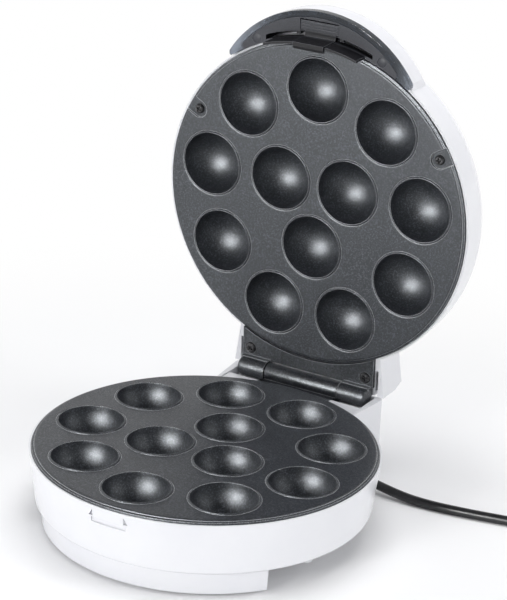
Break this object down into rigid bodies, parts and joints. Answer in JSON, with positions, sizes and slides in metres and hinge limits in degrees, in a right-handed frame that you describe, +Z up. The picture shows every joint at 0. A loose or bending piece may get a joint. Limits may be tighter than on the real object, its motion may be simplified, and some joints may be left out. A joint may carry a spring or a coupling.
{
  "type": "cake pop maker",
  "caption": "Round countertop cooker with a hinged lid that bakes small balls of dough between two dished plates, lid standing open.",
  "frame": {"origin": "on the standing surface, under the middle of the lower cooking plate", "axes": "+Z up, -Y towards the handle side where the user stands, +Y towards the hinge, +X to the user's right"},
  "size_m": [0.3451, 0.3826, 0.2932],
  "materials": {
    "white_shell": "glossy moulded white plastic",
    "foot_rubber": "matte black rubber",
    "nonstick_plate": "dark grey non-stick coating on cast aluminium, fine grain",
    "hinge_casting": "black coated casting, half gloss",
    "plated_steel": "bright plated steel",
    "zinc_steel": "zinc plated steel",
    "dark_screws": "blackened steel",
    "heater_tube": "heat-tinted steel sheath",
    "pressed_aluminium": "pressed aluminium sheet",
    "pale_insulator": "pale heat-proof insulator",
    "black_cord": "black flexible plastic, half matte",
    "smoke_visor": "clear smoke-grey plastic",
    "grey_grip": "dark grey plastic, half matte",
    "red_lens": "translucent red plastic",
    "green_lens": "translucent green plastic"
  },
  "bodies": {
    "base": {"base_housing": "white_shell", "bottom_cover": "white_shell", "rubber_feet": "foot_rubber", "cover_screws": "zinc_steel", "lower_plate": "nonstick_plate", "lower_pan_screws": "zinc_steel", "lower_heater": "heater_tube", "lower_heater_clamps": "zinc_steel", "lower_clamp_screws": "zinc_steel", "lower_reflector": "pressed_aluminium", "thermostat": "pressed_aluminium", "thermal_fuse": "pale_insulator", "terminal_block": "pale_insulator", "hinge_leaf": "hinge_casting", "leaf_screws": "zinc_steel", "strain_relief": "black_cord", "power_cord": "black_cord", "cord_coil": "black_cord", "plug_body": "black_cord", "plug_pins": "plated_steel", "earth_clips": "zinc_steel"},
    "lid": {"lid_housing": "white_shell", "upper_plate": "nonstick_plate", "upper_plate_screws": "dark_screws", "upper_heater": "heater_tube", "upper_heater_clamps": "zinc_steel", "upper_clamp_screws": "zinc_steel", "upper_reflector": "pressed_aluminium", "upper_pan_screws": "zinc_steel", "lid_bracket": "hinge_casting", "bracket_screws": "dark_screws", "hinge_pin": "plated_steel", "handle_visor": "smoke_visor", "handle_grip": "grey_grip", "handle_screws": "dark_screws", "latch_pin": "plated_steel", "latch_spring": "zinc_steel", "power_lamp": "red_lens", "ready_lamp": "green_lens"},
    "latch": {"latch_lever": "grey_grip"}
  },
  "joints": [
    {"name": "lid_hinge", "type": "hinge", "parent": "base", "child": "lid", "pos_m": [0, 0.11805, 0.0504], "axis": [1, 0, 0], "range_deg": [0, 88.3]},
    {"name": "latch_pivot", "type": "hinge", "parent": "lid", "child": "latch", "pos_m": [0, 0.11807, 0.27905], "axis": [1, 0, 0], "range_deg": [-9, 0], "stiffness_Nm_per_rad": 0.05}
  ]
}
